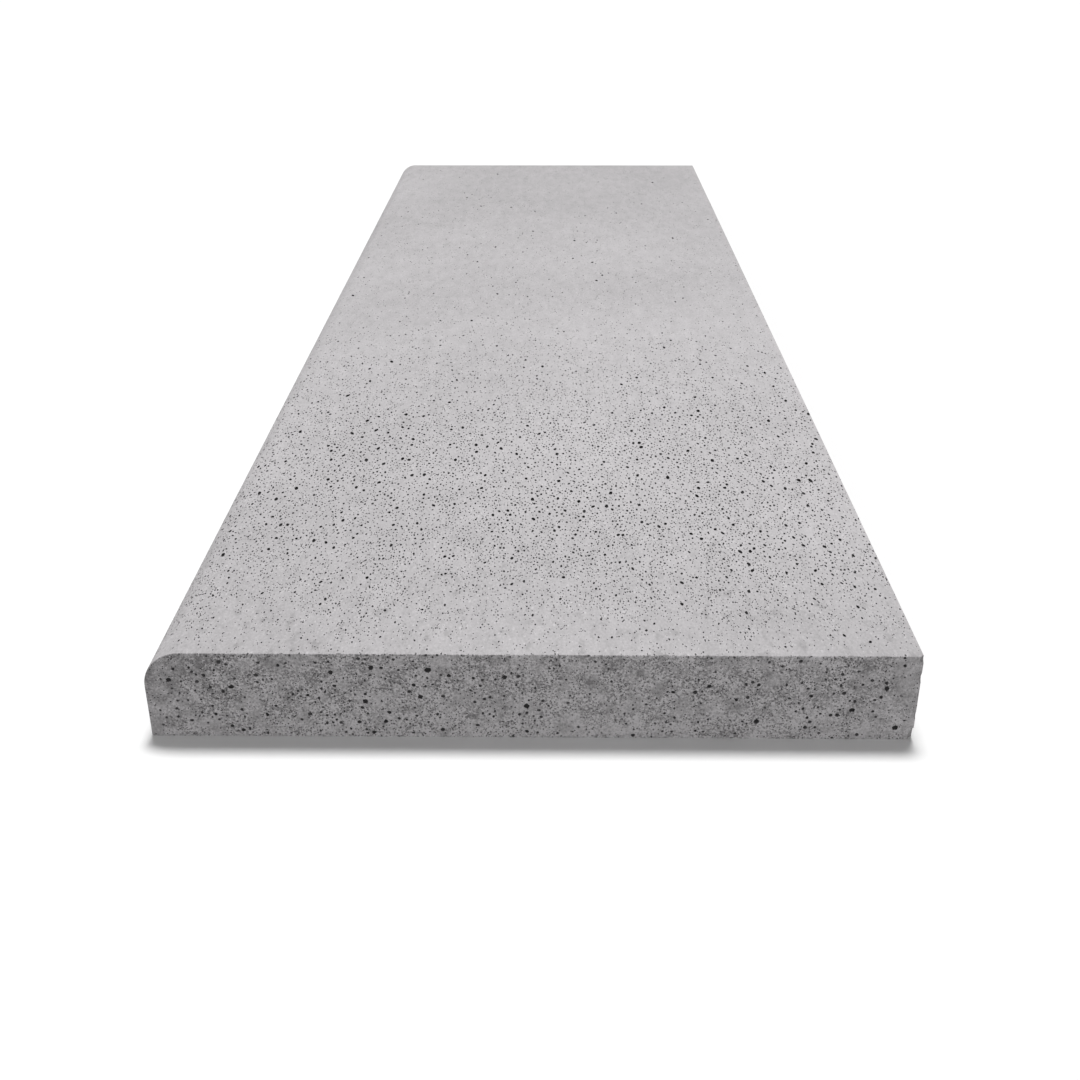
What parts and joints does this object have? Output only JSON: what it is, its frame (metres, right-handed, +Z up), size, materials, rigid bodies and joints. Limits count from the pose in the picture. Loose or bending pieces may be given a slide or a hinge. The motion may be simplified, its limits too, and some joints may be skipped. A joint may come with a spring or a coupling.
{
  "type": "pool coping tile",
  "caption": "Flat grey stone coping slab, with a quarter-round nose along one long top edge and square, finely arrised back and ends.",
  "frame": {"origin": "middle of the underside, the face that is bedded in mortar", "axes": "+Z up through the thickness, +Y along the pool's edge, -X towards the water, where the nose is"},
  "size_m": [0.315, 1, 0.04],
  "materials": {
    "basalt": "honed top and nose, sawn ends, back and bed, with small open pores"
  },
  "bodies": {
    "root": {"coping_slab": "basalt"}
  },
  "joints": []
}
